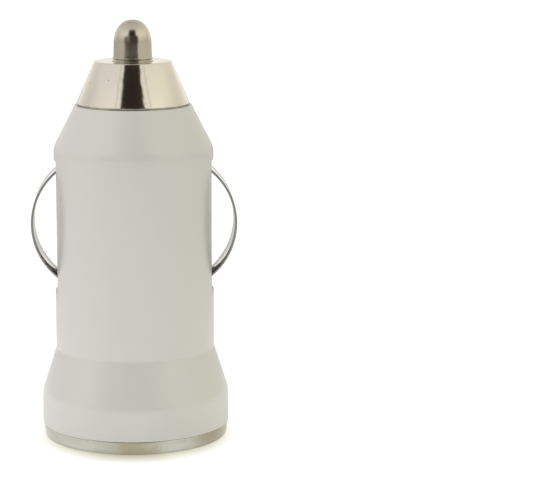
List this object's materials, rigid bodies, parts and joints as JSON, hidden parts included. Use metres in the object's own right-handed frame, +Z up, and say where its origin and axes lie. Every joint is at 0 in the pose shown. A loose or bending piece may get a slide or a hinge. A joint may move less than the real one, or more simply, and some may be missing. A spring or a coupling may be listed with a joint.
{
  "type": "car usb charger plug",
  "caption": "White lighter-socket plug with a flared skirt, plated nose ring, sprung centre pin and bowed side contacts, and a USB charging port in its plated end cap.",
  "frame": {"origin": "middle of the end cap's rim, which the plug stands on", "axes": "+Z up the plug to the centre pin, +X through the right side contact, +Y on the tongue side of the port"},
  "size_m": [0.0264, 0.0242, 0.054],
  "materials": {
    "shell_white": "moulded white plastic, soft gloss",
    "nose_plating": "warm nickel plating, polished",
    "pin_plating": "warm nickel plating, polished",
    "contact_steel": "plated spring steel strip",
    "cap_plating": "champagne plating, bright rim and satin face",
    "label_paper": "bare white sticker",
    "port_steel": "folded nickel-plated sheet",
    "port_plastic": "pale moulded insulator",
    "port_contacts": "gold-flashed strip",
    "board_green": "green lacquered laminate",
    "chip_black": "black moulded package",
    "ferrite": "dark pressed ferrite",
    "copper_wire": "lacquered copper",
    "capacitor_sleeve": "shrunk dark sleeve",
    "resistor_body": "black film on ceramic",
    "ceramic_tan": "tan ceramic",
    "lamp_clear": "water-clear lamp",
    "tinned_wire": "tinned wire",
    "spring_wire": "plated spring wire"
  },
  "bodies": {
    "plug_body": {"body_shell": "shell_white", "nose_ring": "nose_plating", "pin_spring": "spring_wire", "positive_terminal": "contact_steel", "end_cap": "cap_plating", "face_label": "label_paper", "usb_shell": "port_steel", "usb_insulator": "port_plastic", "circuit_board": "board_green", "regulator_chip": "chip_black", "rectifier_diode": "chip_black", "inductor_core": "ferrite", "inductor_winding": "copper_wire", "output_capacitor": "capacitor_sleeve", "input_capacitor": "capacitor_sleeve", "sense_resistor": "resistor_body", "divider_resistor_1": "resistor_body", "divider_resistor_2": "resistor_body", "led_resistor": "resistor_body", "timing_capacitor": "ceramic_tan", "indicator_led": "lamp_clear", "led_lead_1": "tinned_wire", "led_lead_2": "tinned_wire", "usb_contact_1": "port_contacts", "usb_contact_2": "port_contacts", "usb_contact_3": "port_contacts", "usb_contact_4": "port_contacts"},
    "pin": {"center_pin": "pin_plating"},
    "contact_left": {"side_contact_left": "contact_steel"},
    "contact_right": {"side_contact_right": "contact_steel"}
  },
  "joints": [
    {"name": "pin_slide", "type": "slide", "parent": "plug_body", "child": "pin", "axis": [0, 0, 1], "range_m": [-0.003, 0], "stiffness_N_per_m": 1200, "springref_m": 0.003, "deforming": ["pin_spring"]},
    {"name": "left_contact_press", "type": "slide", "parent": "plug_body", "child": "contact_left", "axis": [1, 0, 0], "range_m": [0, 0.0027], "stiffness_N_per_m": 1500, "springref_m": -0.001},
    {"name": "right_contact_press", "type": "slide", "parent": "plug_body", "child": "contact_right", "axis": [-1, 0, 0], "range_m": [0, 0.0027], "stiffness_N_per_m": 1500, "springref_m": -0.001}
  ]
}
